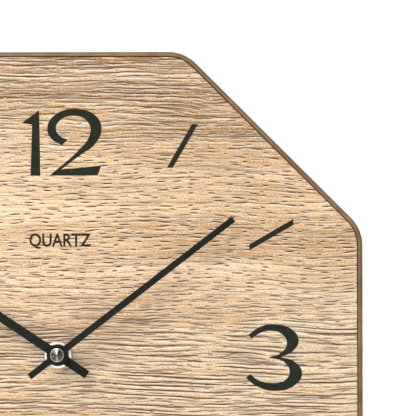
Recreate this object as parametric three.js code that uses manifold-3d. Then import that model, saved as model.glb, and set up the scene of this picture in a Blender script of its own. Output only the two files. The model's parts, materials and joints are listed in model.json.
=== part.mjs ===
// Octagonal battery mantel clock. Millimetres, +Z up, the dial faces -Y.
// Inside the clock group the origin is on the hand axis at the front plate's front face,
// and +Y runs to the back.
import * as THREE from 'three';
import { mergeVertices } from 'three/addons/utils/BufferGeometryUtils.js';
import Module from 'manifold-3d';

const wasm = await Module();
wasm.setup();

// ---------- driving dimensions ----------

const ACROSS_FLATS = 280; // housing, flat to flat
const CORNER_R = 18;
const HOUSING_FRONT = 0.6; // the front plate stands this far proud of the rim
const HOUSING_DEPTH = 46;
const HOUSING_EDGE_R = 1.8; // rounding of the housing's front and back edges
const RIM = 2.2; // visible rim around the front plate
const WALL = 14;
const PLATE_GAP = 0.35; // dark line between rim and plate
const PLATE_T = 6;
const PLATE_EASE = 0.5;
const PANEL_T = 3;
const PANEL_INSET = 2.4; // keeps the screw heads inside the housing's back edge
const PANEL_SEAT = 5.5; // rebate wall left outside the back panel
const PANEL_OPENING = 92;
const PAD_R = 6;
const PAD_T = 1.2;
const PAD_X = 40;

const FIT = 0.1; // air between touching pieces
const NECK_R = 4;
const GASKET_T = 0.6;
const MOVEMENT = 56; // square
const MOVEMENT_T = 16;
const SHELL_WALL = 1.3;
const BAY_TOP = -11.8; // battery bay below this height, wheel space above
const BATTERY_R = 7.1;
const BATTERY_L = 49.5;

const MINUTE_LENGTH = 102;
const MINUTE_TAIL = 16.2;
const MINUTE_WIDTH = 2.9;
const HOUR_LENGTH = 66;
const HOUR_TAIL = 16.3;
const HOUR_WIDTH = 3.9;
const HAND_T = 0.5;
const BOSS_R = 4.95;
const MINUTE_ANGLE = 52.3; // degrees clockwise from twelve, eight and a half past ten
const HOUR_ANGLE = 303.6;

// Depths along Y, from the front plate's face
const WASHER_Y = [-0.6, -FIT];
const NUT_Y = [-2.7, -0.7];
const NECK_END = -3.0;
const HOUR_Y = -4.4;
const HOUR_PIPE_END = -5.2;
const MINUTE_Y = -6.3;
const TUBE_END = -7.8;
const CAP_TOP = -9.2;

const SHELL_Y = PLATE_T + FIT + GASKET_T + FIT; // front of the movement
const COVER_Y = SHELL_Y + MOVEMENT_T - SHELL_WALL;
const HOUSING_BACK = HOUSING_FRONT + HOUSING_DEPTH;
const PANEL_Y = HOUSING_BACK - PANEL_INSET - PANEL_T;

const BODY_R = ACROSS_FLATS / 2;
const HUB_HEIGHT = BODY_R + PAD_T;
const CENTRE_Y = (CAP_TOP + HOUSING_BACK) / 2;

// ---------- materials ----------

const material = (color, roughness, metalness = 0) =>
  new THREE.MeshStandardMaterial({ color, roughness, metalness });

const oak = material(0xd2b28e, 0.55);
const brown = material(0x7a6248, 0.5);
const hardboard = material(0x6e543c, 0.75);
const blackPaint = material(0x2b2e28, 0.45, 0.2);
const nickel = material(0xd8d6d0, 0.25, 1);
const blackPlastic = material(0x1d1e20, 0.5);
const whitePlastic = material(0xe9e7e0, 0.4);
const brass = material(0xc9a558, 0.3, 1);
const steel = material(0xb9bbbd, 0.35, 1);
const iron = material(0x8c8d90, 0.4, 1);
const copper = material(0xb5622f, 0.35, 1);
const rubber = material(0x222222, 0.85);
const board = material(0x2f5d3a, 0.55);
const cell = material(0x39536b, 0.35, 0.4);

// ---------- shape helpers ----------

const toSolid = (geometry) => {
  const bare = geometry.clone();
  bare.deleteAttribute('normal');
  bare.deleteAttribute('uv');
  const merged = mergeVertices(bare, 1e-4);
  return new wasm.Manifold(new wasm.Mesh({
    numProp: 3,
    vertProperties: Float32Array.from(merged.attributes.position.array),
    triVerts: Uint32Array.from(merged.index.array),
  }));
};

const toGeometry = (solid) => {
  const mesh = solid.getMesh();
  const geometry = new THREE.BufferGeometry();
  geometry.setAttribute('position', new THREE.BufferAttribute(mesh.vertProperties, 3));
  geometry.setIndex(new THREE.BufferAttribute(mesh.triVerts, 1));
  geometry.computeVertexNormals();
  return geometry;
};

const join = (first, ...others) =>
  toGeometry(others.reduce((solid, g) => solid.add(toSolid(g)), toSolid(first)));

const cut = (first, ...others) =>
  toGeometry(others.reduce((solid, g) => solid.subtract(toSolid(g)), toSolid(first)));

const polar = (r, degrees) => {
  const a = THREE.MathUtils.degToRad(degrees);
  return [r * Math.cos(a), r * Math.sin(a)];
};

// A shape drawn as seen from the front, X right and Z up, solid from y0 back to y1.
const slab = (shape, y0, y1, { bevel = 0, segments = 5, steps = 1 } = {}) => {
  const geometry = new THREE.ExtrudeGeometry(shape, {
    depth: y1 - y0 - 2 * bevel,
    curveSegments: segments,
    bevelEnabled: bevel > 0,
    bevelThickness: bevel,
    bevelSize: bevel,
    bevelOffset: -bevel,
    bevelSegments: steps,
  });
  return geometry.rotateX(Math.PI / 2).translate(0, y1 - bevel, 0);
};

// A turned solid about the hand axis from [radius, y] points that start and end on it.
const turned = (points, segments = 24) =>
  new THREE.LatheGeometry(points.map(([r, y]) => new THREE.Vector2(r, y)), segments);

const disc = (r, y0, y1, segments = 24) => turned([[0, y0], [r, y0], [r, y1], [0, y1]], segments);

const tube = (outer, inner, y0, y1, segments = 24) =>
  turned([[inner, y0], [outer, y0], [outer, y1], [inner, y1], [inner, y0]], segments);

// A box between two corners.
const block = ([x0, y0, z0], [x1, y1, z1]) =>
  new THREE.BoxGeometry(x1 - x0, y1 - y0, z1 - z0)
    .translate((x0 + x1) / 2, (y0 + y1) / 2, (z0 + z1) / 2);

// An upright octagon with round corners, given by its half width across flats.
const octagon = (halfWidth, cornerR) => {
  const shape = new THREE.Shape();
  const reach = (halfWidth - cornerR) / Math.cos(Math.PI / 8);
  for (let i = 0; i < 8; i++) {
    const [cx, cz] = polar(reach, 22.5 + 45 * i);
    const from = (Math.PI / 4) * i;
    shape.absarc(cx, cz, cornerR, from, from + Math.PI / 4, false);
  }
  return shape;
};

const roundedRect = (x0, z0, x1, z1, r) => {
  const shape = new THREE.Shape();
  shape.absarc(x1 - r, z1 - r, r, 0, Math.PI / 2, false);
  shape.absarc(x0 + r, z1 - r, r, Math.PI / 2, Math.PI, false);
  shape.absarc(x0 + r, z0 + r, r, Math.PI, 1.5 * Math.PI, false);
  shape.absarc(x1 - r, z0 + r, r, 1.5 * Math.PI, 2 * Math.PI, false);
  return shape;
};

const polygon = (points) => new THREE.Shape(points.map(([x, z]) => new THREE.Vector2(x, z)));

const clock = new THREE.Group();
clock.position.set(0, -CENTRE_Y, HUB_HEIGHT);

const add = (name, geometry, finish, [x, z] = [0, 0]) => {
  const mesh = new THREE.Mesh(geometry, finish);
  mesh.name = name;
  mesh.position.set(x, 0, z);
  clock.add(mesh);
};

// ---------- housing, front plate and back panel ----------

const SCREW_RING = BODY_R - PANEL_SEAT - 4.2; // apothem of the screw positions
const SCREW_R = 1.5;
const SCREW_LENGTH = 14;
const screwPlaces = Array.from({ length: 8 }, (_, i) => polar(SCREW_RING, 45 * i));

const housing = () => {
  const plateHalf = BODY_R - RIM;
  const hollowHalf = BODY_R - WALL;
  const panelHalf = BODY_R - PANEL_SEAT;
  const outer = slab(octagon(BODY_R, CORNER_R), HOUSING_FRONT, HOUSING_BACK,
    { bevel: HOUSING_EDGE_R, steps: 3 });
  const plateSeat = slab(octagon(plateHalf, CORNER_R - RIM), -1, PLATE_T + FIT);
  const hollow = slab(octagon(hollowHalf, CORNER_R - WALL), 0, HOUSING_BACK + 1);
  const panelSeat = slab(octagon(panelHalf, CORNER_R - PANEL_SEAT), PANEL_Y - FIT, HOUSING_BACK + 1);
  const pilotY = PANEL_Y - SCREW_LENGTH;
  const pilots = screwPlaces.map(([x, z]) =>
    disc(SCREW_R + FIT, pilotY, HOUSING_BACK, 12).translate(x, 0, z));
  return cut(outer, plateSeat, hollow, panelSeat, ...pilots);
};

const frontPlate = () => {
  const half = BODY_R - RIM - PLATE_GAP;
  const shape = octagon(half, CORNER_R - RIM - PLATE_GAP);
  const plate = slab(shape, 0, PLATE_T, { bevel: PLATE_EASE });
  return cut(plate, disc(NECK_R + 0.5, -1, PLATE_T + 1, 24));
};

const backPanel = () => {
  const half = BODY_R - PANEL_SEAT - 0.4;
  const shape = octagon(half, CORNER_R - PANEL_SEAT - 0.4);
  const h = PANEL_OPENING / 2;
  shape.holes.push(roundedRect(-h, -h, h, h, 9));
  const holes = screwPlaces.map(([x, z]) =>
    disc(SCREW_R + 0.3, PANEL_Y - 1, HOUSING_BACK + 1, 12).translate(x, 0, z));
  return cut(slab(shape, PANEL_Y, PANEL_Y + PANEL_T), ...holes);
};

// Pan head with a slot, and a shank with a point.
const panelScrew = () => {
  const seat = PANEL_Y + PANEL_T + FIT;
  const tip = PANEL_Y - SCREW_LENGTH + 1;
  const body = turned([
    [0, tip], [SCREW_R, tip + 2.4], [SCREW_R, seat], [3, seat],
    [3, seat + 0.5], [2.2, seat + 1.4], [0, seat + 1.75],
  ], 12);
  return cut(body, block([-4, seat + 0.9, -0.35], [4, seat + 3, 0.35]));
};

add('housing', housing(), brown);
add('front_plate', frontPlate(), oak);
add('back_panel', backPanel(), hardboard);
screwPlaces.forEach((place, i) => add(`panel_screw_${i + 1}`, panelScrew(), steel, place));

const padRows = [HOUSING_FRONT + 9, HOUSING_BACK - 9];
padRows.forEach((y, row) => [-PAD_X, PAD_X].forEach((x, side) => {
  const pad = new THREE.CylinderGeometry(PAD_R - 0.4, PAD_R, PAD_T - 0.02, 24)
    .rotateX(-Math.PI / 2)
    .translate(x, y, -BODY_R - PAD_T / 2 - 0.01);
  add(`foot_pad_${2 * row + side + 1}`, pad, rubber);
}));

// ---------- hub hardware and hands ----------

const NUT_TURN = MINUTE_ANGLE - 90; // its two spanner slots lie in line with the minute hand

const neckNut = () => {
  const [y0, y1] = NUT_Y;
  const ring = turned([
    [NECK_R + FIT, y0 + 0.4], [NECK_R + 0.5, y0], [5.9, y0], [6.45, y0 + 0.55],
    [6.45, y1], [NECK_R + FIT, y1], [NECK_R + FIT, y0 + 0.4],
  ], 32);
  const slots = [[-9, -5.6], [5.6, 9]].map(([x0, x1]) =>
    block([x0, y0 - 1, -0.7], [x1, y0 + 1, 0.7]).rotateY(THREE.MathUtils.degToRad(NUT_TURN)));
  return cut(ring, ...slots);
};

// A straight hand with square ends, drawn pointing up and then turned clockwise.
const hand = (length, tail, width, bore, y, angle, collar) => {
  const bar = block([-width / 2, y, -tail], [width / 2, y + HAND_T, length]);
  const boss = disc(BOSS_R, y, y + HAND_T, 32);
  const back = disc(bore + 0.8, y + HAND_T - 0.1, y + HAND_T + collar);
  const blank = join(bar, boss, back);
  return cut(blank, disc(bore, y - 1, y + collar + 2)).rotateY(THREE.MathUtils.degToRad(angle));
};

const HOUR_PIPE_R = 2.5;
const MINUTE_TUBE_R = 1.6;

const handCap = () => turned([
  [0, CAP_TOP], [0.35, CAP_TOP + 0.02], [2.3, CAP_TOP + 1.05], [2.75, CAP_TOP + 1.15],
  [3.2, CAP_TOP + 1.5], [3.2, MINUTE_Y - FIT], [MINUTE_TUBE_R + 0.05, MINUTE_Y - FIT],
  [MINUTE_TUBE_R + 0.05, TUBE_END - 0.05], [0, TUBE_END - 0.05],
]);

add('neck_washer', tube(6.2, NECK_R + FIT, ...WASHER_Y), steel);
add('neck_nut', neckNut(), nickel);
add('hour_hand',
  hand(HOUR_LENGTH, HOUR_TAIL, HOUR_WIDTH, HOUR_PIPE_R + 0.03, HOUR_Y, HOUR_ANGLE, 0.5), blackPaint);
add('minute_hand',
  hand(MINUTE_LENGTH, MINUTE_TAIL, MINUTE_WIDTH, MINUTE_TUBE_R + 0.03, MINUTE_Y, MINUTE_ANGLE, 0.4),
  blackPaint);
add('hand_cap', handCap(), nickel);

// ---------- wheel train ----------

const TOOTH = { addendum: 0.75, dedendum: 1.05 };

// A toothed disc with stub teeth, one of them centred on the angle phase (radians from +X
// towards +Z).
const toothed = (teeth, module, phase, y0, y1) => {
  const pinion = teeth < 16;
  const rootShare = pinion ? 0.22 : 0.29;
  const tipShare = 0.1;
  const rootR = module * (teeth / 2 - TOOTH.dedendum);
  const tipR = module * (teeth / 2 + TOOTH.addendum);
  const pitch = (2 * Math.PI) / teeth;
  const corners = [[rootR, -rootShare], [tipR, -tipShare], [tipR, tipShare], [rootR, rootShare]];
  const points = [];
  for (let i = 0; i < teeth; i++) {
    for (const [r, share] of corners) {
      const a = phase + (i + share) * pitch;
      points.push([r * Math.cos(a), r * Math.sin(a)]);
    }
  }
  return slab(polygon(points), y0, y1);
};

const heading = ([x0, z0], [x1, z1]) => Math.atan2(z1 - z0, x1 - x0);

const toothToward = (here, there) => heading(here, there);

const gapToward = (here, there, teeth) => heading(here, there) + Math.PI / teeth;

// The phase at which a second toothed disc meshes with a first one of known phase.
const meshedPhase = (first, firstTeeth, firstPhase, second, teeth) => {
  const line = heading(first, second);
  const past = ((line - firstPhase) * firstTeeth) / (2 * Math.PI);
  return line + Math.PI - ((0.5 - past) * 2 * Math.PI) / teeth;
};

const away = ([x, z], distance, degrees) => {
  const [dx, dz] = polar(distance, degrees);
  return [x + dx, z + dz];
};

const TEETH = {
  cannon: 12, motionWheel: 36, motionPinion: 10, hourWheel: 40, setting: 12,
  centreWheel: 64, thirdPinion: 8, thirdWheel: 60, secondsPinion: 8,
  secondsWheel: 48, intermediatePinion: 8, intermediateWheel: 40, rotorPinion: 8,
};
const MOTION_DISTANCE = 10;
const THIRD_DISTANCE = 10.8;
const INTERMEDIATE_DISTANCE = 11.2;
const ROTOR_DISTANCE = 6;
const moduleOf = (distance, a, b) => (2 * distance) / (TEETH[a] + TEETH[b]);

const hub = [0, 0];
const motionAxis = away(hub, MOTION_DISTANCE, 150);
const settingAxis = away(motionAxis, MOTION_DISTANCE, 180);
const thirdAxis = away(hub, THIRD_DISTANCE, 45);
const intermediateAxis = away(hub, INTERMEDIATE_DISTANCE, -15);
const rotorAxis = away(intermediateAxis, ROTOR_DISTANCE, 0);

const motionModule = moduleOf(MOTION_DISTANCE, 'cannon', 'motionWheel');
const hourModule = moduleOf(MOTION_DISTANCE, 'motionPinion', 'hourWheel');
const centreModule = moduleOf(THIRD_DISTANCE, 'thirdPinion', 'centreWheel');
const thirdModule = moduleOf(THIRD_DISTANCE, 'secondsPinion', 'thirdWheel');
const secondsModule = moduleOf(INTERMEDIATE_DISTANCE, 'intermediatePinion', 'secondsWheel');
const rotorModule = moduleOf(ROTOR_DISTANCE, 'rotorPinion', 'intermediateWheel');

// Layers of the train along Y, front to back
const LAYER = {
  hour: [8.6, 9.6],
  motion: [10.2, 11.3],
  centre: [11.9, 12.8],
  third: [13.4, 14.3],
  seconds: [15.0, 15.9],
  intermediate: [16.5, 17.4],
};
const PIVOT_R = 0.5;
const PIVOT_FRONT = SHELL_Y + SHELL_WALL - 0.6; // blind pivot holes in the shell's front wall
const BRIDGE_Y = [18.0, 19.0];

const [motionX, motionZ] = motionAxis;
const place = (geometry, [x, z]) => geometry.translate(x, 0, z);

const hourWheel = () => {
  const phase = gapToward(hub, motionAxis, TEETH.hourWheel);
  const wheel = toothed(TEETH.hourWheel, hourModule, phase, ...LAYER.hour);
  const pipe = disc(HOUR_PIPE_R, HOUR_PIPE_END, LAYER.hour[1]);
  return cut(join(wheel, pipe), disc(MINUTE_TUBE_R + 0.1, HOUR_PIPE_END - 1, 20));
};

const motionWheel = () => {
  const wheelPhase = gapToward(motionAxis, hub, TEETH.motionWheel);
  const pinionPhase = toothToward(motionAxis, hub);
  return join(
    toothed(TEETH.motionWheel, motionModule, wheelPhase, ...LAYER.motion),
    toothed(TEETH.motionPinion, hourModule, pinionPhase, LAYER.hour[0] - 0.1, LAYER.motion[0] + 0.1),
    disc(PIVOT_R, PIVOT_FRONT, LAYER.motion[1] + 0.5, 16));
};

// Wheel, cannon pinion and the tube that carries the minute hand and its cap.
const centreWheel = () => {
  const wheelPhase = gapToward(hub, thirdAxis, TEETH.centreWheel);
  const cannonPhase = toothToward(hub, motionAxis);
  const blank = join(
    toothed(TEETH.centreWheel, centreModule, wheelPhase, ...LAYER.centre),
    toothed(TEETH.cannon, motionModule, cannonPhase, LAYER.motion[0] - 0.1, LAYER.centre[0] + 0.1),
    disc(MINUTE_TUBE_R, TUBE_END, LAYER.centre[0] + 0.1));
  return cut(blank, disc(0.8, TUBE_END - 1, 20, 16));
};

const thirdWheel = () => join(
  toothed(TEETH.thirdWheel, thirdModule, gapToward(thirdAxis, hub, TEETH.thirdWheel), ...LAYER.third),
  toothed(TEETH.thirdPinion, centreModule, toothToward(thirdAxis, hub),
    LAYER.centre[0] - 0.1, LAYER.third[0] + 0.1),
  disc(PIVOT_R, PIVOT_FRONT, BRIDGE_Y[1], 16));

const secondsWheel = () => join(
  toothed(TEETH.secondsWheel, secondsModule, gapToward(hub, intermediateAxis, TEETH.secondsWheel),
    ...LAYER.seconds),
  toothed(TEETH.secondsPinion, thirdModule, toothToward(hub, thirdAxis),
    LAYER.third[0] - 0.1, LAYER.seconds[0] + 0.1),
  disc(0.6, 2, BRIDGE_Y[1], 16));

const intermediateWheel = () => join(
  toothed(TEETH.intermediateWheel, rotorModule,
    gapToward(intermediateAxis, rotorAxis, TEETH.intermediateWheel), ...LAYER.intermediate),
  toothed(TEETH.intermediatePinion, secondsModule, toothToward(intermediateAxis, hub),
    LAYER.seconds[0] - 0.1, LAYER.intermediate[0] + 0.1),
  disc(PIVOT_R, PIVOT_FRONT, BRIDGE_Y[1], 16));

const MAGNET_R = 2.3;
const rotor = () => join(
  toothed(TEETH.rotorPinion, rotorModule, toothToward(rotorAxis, intermediateAxis),
    LAYER.intermediate[0] - 0.1, LAYER.intermediate[1] + 0.1),
  disc(MAGNET_R, 13.6, 15.9, 24),
  disc(0.4, PIVOT_FRONT, BRIDGE_Y[1], 16));

const settingKnob = () => {
  const motionPhase = gapToward(motionAxis, hub, TEETH.motionWheel);
  const phase = meshedPhase(motionAxis, TEETH.motionWheel, motionPhase, settingAxis, TEETH.setting);
  const pinion = toothed(TEETH.setting, motionModule, phase, LAYER.motion[0] - 0.1, LAYER.motion[1] + 0.1);
  const knobY = COVER_Y + SHELL_WALL + 0.4;
  const grip = new THREE.Shape();
  const ribs = 18;
  for (let i = 0; i < ribs * 2; i++) {
    const [x, z] = polar(i % 2 ? 4.3 : 4.8, (180 / ribs) * i);
    if (i) grip.lineTo(x, z);
    else grip.moveTo(x, z);
  }
  return join(pinion,
    disc(1.4, LAYER.motion[1], knobY + 0.2, 20),
    disc(PIVOT_R, PIVOT_FRONT, LAYER.motion[1], 16),
    slab(grip, knobY, knobY + 4),
    disc(3.2, knobY + 3.9, knobY + 4.5, 24));
};

add('hour_wheel', hourWheel(), whitePlastic);
add('motion_wheel', motionWheel(), whitePlastic, motionAxis);
add('centre_wheel', centreWheel(), brass);
add('third_wheel', thirdWheel(), whitePlastic, thirdAxis);
add('seconds_wheel', secondsWheel(), whitePlastic);
add('intermediate_wheel', intermediateWheel(), whitePlastic, intermediateAxis);
add('rotor', rotor(), iron, rotorAxis);
add('setting_knob', settingKnob(), whitePlastic, settingAxis);

// ---------- movement case ----------

const HALF = MOVEMENT / 2;
const pivotAxes = [motionAxis, thirdAxis, intermediateAxis, rotorAxis, settingAxis];

const frontShell = () => {
  const inner = HALF - SHELL_WALL;
  const box = slab(roundedRect(-HALF, -HALF, HALF, HALF, 3), SHELL_Y, COVER_Y - FIT, { segments: 4 });
  const neck = disc(NECK_R, NECK_END, SHELL_Y + 1);
  const eye = slab(roundedRect(-8, HALF - 1, 8, HALF + 7, 3), SHELL_Y, SHELL_Y + 2, { segments: 4 });
  const floorY = SHELL_Y + SHELL_WALL;
  const wheelSpace = block([-inner, floorY, BAY_TOP + SHELL_WALL], [inner, COVER_Y + 1, inner]);
  const bay = block([-inner, floorY, -inner], [inner, COVER_Y + 1, BAY_TOP]);
  const blindHoles = pivotAxes.map((axis) =>
    place(disc(PIVOT_R + FIT, PIVOT_FRONT - 0.2, floorY + 1, 16), axis));
  return cut(join(box, neck, eye), wheelSpace, bay,
    disc(HOUR_PIPE_R + 0.1, NECK_END - 1, floorY + 1),
    place(disc(2.2, SHELL_Y - 1, SHELL_Y + 3, 20), [0, HALF + 3.2]),
    ...blindHoles);
};

const rearCover = () => {
  const shape = polygon([[-HALF, BAY_TOP], [HALF, BAY_TOP], [HALF, HALF - 3],
    [HALF - 3, HALF], [3 - HALF, HALF], [-HALF, HALF - 3]]);
  const plate = slab(shape, COVER_Y, COVER_Y + SHELL_WALL);
  const collar = place(disc(3, COVER_Y - 2, COVER_Y + 0.1, 24), settingAxis);
  const hole = place(disc(1.55, COVER_Y - 3, COVER_Y + 3, 24), settingAxis);
  return cut(join(plate, collar), hole);
};

const bridge = () => {
  const shape = polygon([[-14, -8.6], [21, -8.6], [21, 0.4], [16.6, 0.4], [16.6, 16],
    [1, 16], [-14, 10]]);
  const holes = [[hub, 0.7], [thirdAxis, 0.6], [intermediateAxis, 0.6], [rotorAxis, 0.5]]
    .map(([axis, r]) => place(disc(r, BRIDGE_Y[0] - 1, BRIDGE_Y[1] + 1, 16), axis));
  return cut(slab(shape, ...BRIDGE_Y), ...holes);
};

add('neck_gasket', tube(9, NECK_R + 0.2, PLATE_T + FIT, PLATE_T + FIT + GASKET_T), rubber);
add('movement_front_shell', frontShell(), blackPlastic);
add('movement_rear_cover', rearCover(), blackPlastic);
add('train_bridge', bridge(), whitePlastic);

// ---------- motor, electronics and battery ----------

const COIL_X = 21.6;
const COIL_Z = [3, 24];
const COIL_Y = 15.6;
const COIL_R = 3.3;

// A sheet-iron U: from the coil's upper end down past the rotor and back to its lower end.
const stator = () => {
  const [rx, rz] = rotorAxis;
  const arms = polygon([[13.4, 26], [COIL_X + 1.2, 26], [COIL_X + 1.2, 24.6], [16, 24.6], [16, rz + 3],
    [rx + 2, rz + 3], [COIL_X - 1.2, 0.6], [COIL_X - 1.2, 2.4], [COIL_X + 1.2, 2.4],
    [COIL_X + 1.2, rz - 2], [rx + 3, rz - 5], [rx - 3, rz - 5], [13.4, rz - 1]]);
  return cut(slab(arms, 15.1, 16.1), place(disc(MAGNET_R + 0.5, 14, 17, 24), rotorAxis));
};

const coilAlongZ = (geometry) => geometry.rotateX(Math.PI / 2).translate(COIL_X, COIL_Y, 0);

const coilBobbin = () => {
  const [z0, z1] = COIL_Z;
  const flange = COIL_R + 0.3;
  return coilAlongZ(turned([[1.4, z0], [flange, z0], [flange, z0 + 0.8], [1.9, z0 + 0.8],
    [1.9, z1 - 0.8], [flange, z1 - 0.8], [flange, z1], [1.4, z1], [1.4, z0]], 16));
};

const coilWinding = () => {
  const [z0, z1] = COIL_Z;
  return coilAlongZ(tube(COIL_R, 2, z0 + 0.9, z1 - 0.9, 16));
};

const coilCore = () => block([COIL_X - 0.8, COIL_Y - 0.4, 2.5], [COIL_X + 0.8, COIL_Y + 0.4, 24.5]);

const circuitBoard = () => {
  const shape = polygon([[-26, 13.4], [-4, 13.4], [1, 17], [1, 26], [-26, 26]]);
  return slab(shape, 16.6, 17.4);
};

const crystalCan = () => {
  const can = turned([[0, 0], [1.0, 0], [1.0, 6.2], [0.7, 6.5], [0, 6.5]], 16);
  return can.rotateZ(-Math.PI / 2).translate(-9, 18.5, 22);
};

const chipCover = () => turned([[0, 17.5], [3.2, 17.5], [2.7, 18.2], [1.5, 18.8], [0, 19]], 20)
  .translate(-16, 0, 19);

const BAY_MID = (BAY_TOP - HALF + SHELL_WALL) / 2;
const CONTACT_Y = [SHELL_Y + SHELL_WALL + 3, COVER_Y - 2];

// Turned along X: can, shoulder and the positive nub at the right end.
const battery = () => {
  const half = BATTERY_L / 2;
  const body = turned([[0, -half], [BATTERY_R - 0.6, -half], [BATTERY_R, -half + 0.5],
    [BATTERY_R, half - 2], [BATTERY_R - 0.6, half - 1.5], [2.7, half - 1.5], [2.6, half], [0, half]]);
  return body.rotateZ(-Math.PI / 2).translate(0, SHELL_Y + SHELL_WALL + 0.3 + BATTERY_R, BAY_MID);
};

const positiveContact = () => {
  const wall = HALF - SHELL_WALL - 0.1;
  return block([wall - 0.5, CONTACT_Y[0], BAY_MID - 4], [wall, CONTACT_Y[1], BAY_MID + 4]);
};

// A leaf with a sprung bulge that bears on the battery's flat end.
const negativeContact = () => {
  const wall = -(HALF - SHELL_WALL - 0.1);
  const outline = polygon([[wall, BAY_MID - 5], [wall + 0.4, BAY_MID - 5], [wall + 1.4, BAY_MID - 1.5],
    [wall + 1.4, BAY_MID + 1.5], [wall + 0.4, BAY_MID + 5], [wall, BAY_MID + 5],
    [wall + 1.0, BAY_MID + 1.3], [wall + 1.0, BAY_MID - 1.3]]);
  return slab(outline, ...CONTACT_Y);
};

add('stator', stator(), iron);
add('coil_bobbin', coilBobbin(), whitePlastic);
add('coil_winding', coilWinding(), copper);
add('coil_core', coilCore(), iron);
add('circuit_board', circuitBoard(), board);
add('crystal_can', crystalCan(), nickel);
add('chip_cover', chipCover(), blackPlastic);
add('battery', battery(), cell);
add('positive_contact', positiveContact(), nickel);
add('negative_contact', negativeContact(), nickel);

export default clock;
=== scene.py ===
"""Octagonal mantel clock with an oak decor dial: materials, fine surfaces, print, light and camera.

Lengths are metres in the model's own frame: X to the right, Y from the dial to the back, Z up.
"""
import json
import math

import bmesh
import bpy
from mathutils import Matrix, Vector


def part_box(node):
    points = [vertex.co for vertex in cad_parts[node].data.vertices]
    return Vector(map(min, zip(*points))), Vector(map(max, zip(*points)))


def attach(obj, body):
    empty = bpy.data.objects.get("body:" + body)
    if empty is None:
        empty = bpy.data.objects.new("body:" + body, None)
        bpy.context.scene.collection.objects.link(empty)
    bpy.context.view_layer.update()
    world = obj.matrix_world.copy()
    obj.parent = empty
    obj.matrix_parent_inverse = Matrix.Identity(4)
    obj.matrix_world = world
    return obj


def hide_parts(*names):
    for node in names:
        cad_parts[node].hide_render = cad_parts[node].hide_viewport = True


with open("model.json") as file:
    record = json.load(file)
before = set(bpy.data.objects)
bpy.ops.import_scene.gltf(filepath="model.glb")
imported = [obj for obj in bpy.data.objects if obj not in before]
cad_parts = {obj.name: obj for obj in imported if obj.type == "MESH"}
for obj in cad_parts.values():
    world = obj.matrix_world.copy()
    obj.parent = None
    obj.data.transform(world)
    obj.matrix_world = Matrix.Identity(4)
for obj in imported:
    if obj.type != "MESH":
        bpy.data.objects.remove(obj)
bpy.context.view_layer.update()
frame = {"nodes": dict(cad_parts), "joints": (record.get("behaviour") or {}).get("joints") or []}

MM = 0.001
SHARP = math.radians(32)
HUB = Vector(next(j["pos_m"] for j in frame["joints"] if j["name"] == "minute_turn"))
DIAL_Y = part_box("front_plate")[0].y


def span(node, axis):
    """Lowest and highest coordinate of a CAD node along an axis, 0 to 2."""
    low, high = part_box(node)
    return low[axis], high[axis]


# ---------------------------------------------------------------- shader helpers


class Nodes:
    """A short way to write a procedural material's nodes."""

    def __init__(self, name, metallic=0.0, **sockets):
        self.material = bpy.data.materials.new(name)
        self.material.use_nodes = True
        self.tree = self.material.node_tree
        self.shader = self.tree.nodes["Principled BSDF"]
        self.shader.inputs["Metallic"].default_value = metallic
        for socket, value in sockets.items():
            self.shader.inputs[socket.replace("_", " ")].default_value = value
        self.coords = self.add("ShaderNodeTexCoord").outputs["Object"]

    def add(self, kind, **settings):
        node = self.tree.nodes.new(kind)
        for key, value in settings.items():
            setattr(node, key, value)
        return node

    def link(self, value, socket):
        if isinstance(value, bpy.types.NodeSocket):
            self.tree.links.new(value, socket)
        else:
            socket.default_value = value

    def scaled(self, vector, scale, offset=(0, 0, 0)):
        node = self.add("ShaderNodeMapping")
        self.link(vector, node.inputs["Vector"])
        node.inputs["Scale"].default_value = scale
        node.inputs["Location"].default_value = offset
        return node.outputs["Vector"]

    def noise(self, vector, scale=1.0, detail=2.0, roughness=0.5, distortion=0.0):
        node = self.add("ShaderNodeTexNoise")
        self.link(vector, node.inputs["Vector"])
        node.inputs["Scale"].default_value = scale
        node.inputs["Detail"].default_value = detail
        node.inputs["Roughness"].default_value = roughness
        node.inputs["Distortion"].default_value = distortion
        return node.outputs["Fac"]

    def math(self, operation, a, b=0.0, c=0.0):
        node = self.add("ShaderNodeMath", operation=operation)
        for socket, value in zip(node.inputs, (a, b, c)):
            self.link(value, socket)
        return node.outputs[0]

    def fit(self, value, low, high, to_low=0.0, to_high=1.0):
        node = self.add("ShaderNodeMapRange", interpolation_type="SMOOTHSTEP")
        self.link(value, node.inputs["Value"])
        for socket, number in zip(("From Min", "From Max", "To Min", "To Max"),
                                  (low, high, to_low, to_high)):
            node.inputs[socket].default_value = number
        return node.outputs["Result"]

    def ramp(self, value, *stops):
        node = self.add("ShaderNodeValToRGB")
        elements = node.color_ramp.elements
        while len(elements) < len(stops):
            elements.new(0.5)
        for element, (place, colour) in zip(elements, stops):
            element.position = place
            element.color = colour
        self.link(value, node.inputs["Fac"])
        return node.outputs["Color"]

    def mix(self, factor, a, b, blend="MIX"):
        node = self.add("ShaderNodeMix", data_type="RGBA", blend_type=blend)
        self.link(factor, node.inputs[0])
        self.link(a, node.inputs[6])
        self.link(b, node.inputs[7])
        return node.outputs[2]

    def parts(self, vector):
        node = self.add("ShaderNodeSeparateXYZ")
        self.link(vector, node.inputs[0])
        return node.outputs

    def vector(self, x, y, z):
        node = self.add("ShaderNodeCombineXYZ")
        for socket, value in zip(node.inputs, (x, y, z)):
            self.link(value, socket)
        return node.outputs[0]

    def bump(self, height, strength, distance):
        node = self.add("ShaderNodeBump")
        node.inputs["Strength"].default_value = strength
        node.inputs["Distance"].default_value = distance
        self.link(height, node.inputs["Height"])
        self.link(node.outputs["Normal"], self.shader.inputs["Normal"])

    def colour(self, value):
        self.link(value, self.shader.inputs["Base Color"])

    def roughness(self, value):
        self.link(value, self.shader.inputs["Roughness"])


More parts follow.
